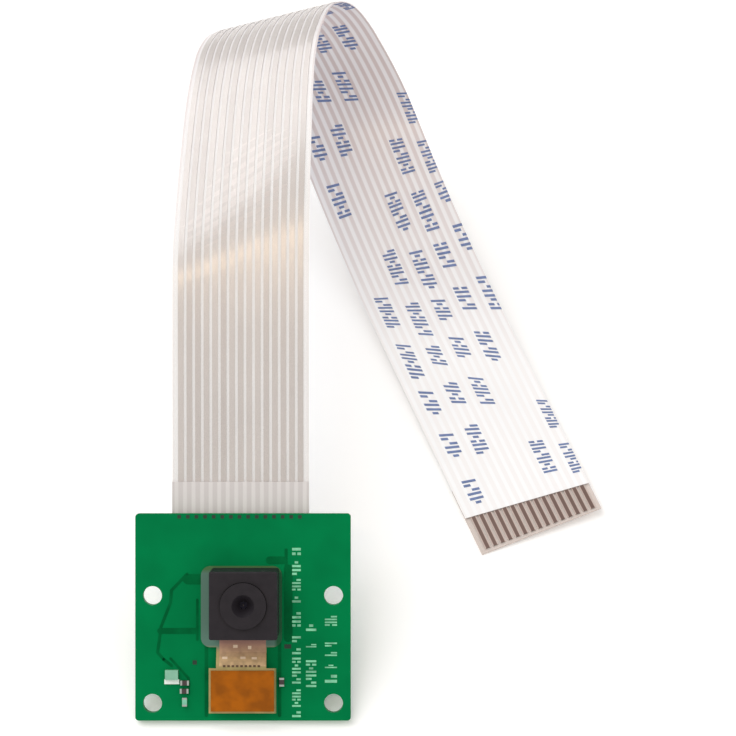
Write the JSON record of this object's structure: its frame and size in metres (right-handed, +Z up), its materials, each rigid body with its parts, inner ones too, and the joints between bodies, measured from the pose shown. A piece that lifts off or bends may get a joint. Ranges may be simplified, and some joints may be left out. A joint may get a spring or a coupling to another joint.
{
  "type": "camera module",
  "caption": "Small camera module on a tilted circuit board with a square lens holder and a flat ribbon cable looped over behind it",
  "frame": {"origin": "on the table, under the middle of the box round the board and all that it carries, without the ribbon", "axes": "+X to the right along the board's lower edge, +Y away behind the board, +Z up from the table"},
  "size_m": [0.0557, 0.0862, 0.0369],
  "materials": {
    "board": "green solder mask over glass laminate, glossy",
    "foam": "dark foam pad, matt",
    "polyimide": "amber polyimide film over copper, satin",
    "polyimide_plate": "orange polyimide stiffener, satin",
    "black_moulding": "black moulded plastic, matt",
    "cream_moulding": "cream moulded plastic, matt",
    "gold": "gold plate, satin",
    "silicon": "dark polished silicon",
    "clear_glass": "clear polished glass",
    "filter_glass": "pink-blue coated glass",
    "lens_plastic": "clear lens with a violet coating",
    "ceramic_tan": "tan sintered ceramic, matt",
    "ceramic_black": "black glazed ceramic, satin",
    "ceramic_grey": "grey ceramic, matt",
    "solder_metal": "tinned metal, satin",
    "lid_metal": "plated lid, brushed",
    "led_white": "milky moulded lamp body",
    "white_film": "white polyester film, glossy",
    "clear_film": "translucent polyester film, glossy",
    "tinned_copper": "tinned flat copper, satin",
    "stiffener_film": "translucent grey-blue polyester stiffener"
  },
  "bodies": {
    "module": {"circuit_board": "board", "adhesive_pad": "foam", "flex_tail": "polyimide", "flex_stiffener": "polyimide_plate", "board_socket": "cream_moulding", "flex_plug": "black_moulding", "socket_contacts": "gold", "image_sensor": "silicon", "sensor_cover_glass": "clear_glass", "lens_holder": "black_moulding", "infrared_filter": "filter_glass", "lens_barrel": "black_moulding", "retaining_ring": "black_moulding", "aperture_stop": "black_moulding", "rear_lens": "lens_plastic", "middle_lens": "lens_plastic", "front_lens": "lens_plastic", "connector_housing": "cream_moulding", "connector_contacts": "gold", "connector_anchors": "solder_metal", "front_capacitors": "ceramic_tan", "front_capacitor_caps": "solder_metal", "back_capacitors": "ceramic_tan", "back_capacitor_caps": "solder_metal", "front_resistors": "ceramic_black", "front_resistor_caps": "solder_metal", "back_resistors": "ceramic_black", "back_resistor_caps": "solder_metal", "indicator_led": "led_white", "led_terminal": "solder_metal", "voltage_regulator_1": "black_moulding", "voltage_regulator_2": "black_moulding", "regulator_legs": "solder_metal", "oscillator_base": "ceramic_black", "oscillator_lid": "lid_metal", "ferrite_bead": "ceramic_grey", "ribbon_film_front": "clear_film", "ribbon_film_back": "white_film", "ribbon_conductors": "tinned_copper", "ribbon_stiffener_near": "stiffener_film", "ribbon_stiffener_far": "stiffener_film"},
    "latch": {"connector_latch": "black_moulding"}
  },
  "joints": [
    {"name": "latch_slide", "type": "slide", "parent": "module", "child": "latch", "axis": [0, 0.848, 0.5299], "range_m": [0, 0.001]}
  ]
}
